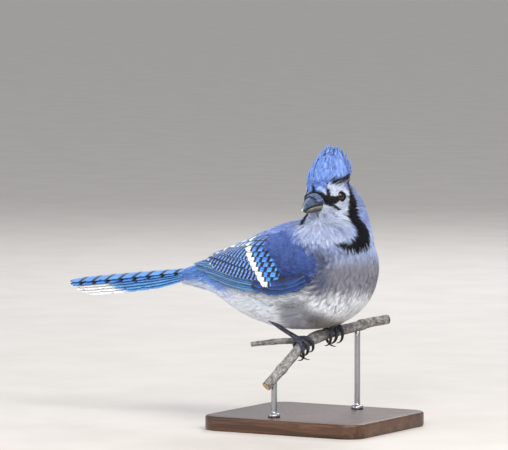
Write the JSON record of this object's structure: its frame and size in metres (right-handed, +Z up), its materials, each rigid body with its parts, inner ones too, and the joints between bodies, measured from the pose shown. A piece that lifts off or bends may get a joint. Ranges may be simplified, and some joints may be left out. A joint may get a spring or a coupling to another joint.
{
  "type": "blue jay on a display stand",
  "caption": "Still life-size blue jay with a raised crest, looking back over its shoulder, gripping a cut forked branch that a flat base and rods hold up.",
  "frame": {"origin": "centre of the stand's underside, on the floor", "axes": "+Z up; +X the way the bird's body faces, with its tail along -X; +Y to the bird's left"},
  "size_m": [0.2603, 0.1191, 0.1958],
  "materials": {
    "breast_feathers": "soft matt feathers, violet grey with a white belly",
    "face_feathers": "soft matt feathers, white with a black collar",
    "crest_feathers": "soft matt feathers, light violet blue",
    "wing_feathers": "silky feathers, bright blue barred with black and tipped with white",
    "tail_feathers": "silky feathers, blue barred with black, the outer ones tipped with white",
    "bill_horn": "satin blue-black horn",
    "eye": "wet gloss, dark brown",
    "leg_scales": "scaled, satin black",
    "claw_horn": "satin black horn",
    "bark": "dry grey-brown bark, pale inside at the cut ends",
    "stand_wood": "oiled dark wood",
    "stand_steel": "brushed steel"
  },
  "bodies": {
    "root": {"torso": "breast_feathers", "neck": "face_feathers", "head": "face_feathers", "crest": "crest_feathers", "bill_upper": "bill_horn", "bill_lower": "bill_horn", "eye_right": "eye", "eye_left": "eye", "wing_right": "wing_feathers", "wing_left": "wing_feathers", "rump": "tail_feathers", "tail": "tail_feathers", "leg_right": "leg_scales", "leg_left": "leg_scales", "foot_right": "leg_scales", "foot_left": "leg_scales", "claw_right_inner": "claw_horn", "claw_right_middle": "claw_horn", "claw_right_outer": "claw_horn", "claw_right_hind": "claw_horn", "claw_left_inner": "claw_horn", "claw_left_middle": "claw_horn", "claw_left_outer": "claw_horn", "claw_left_hind": "claw_horn", "perch": "bark", "stand_base": "stand_wood", "stand_rod_front": "stand_steel", "stand_rod_back": "stand_steel"}
  },
  "joints": []
}
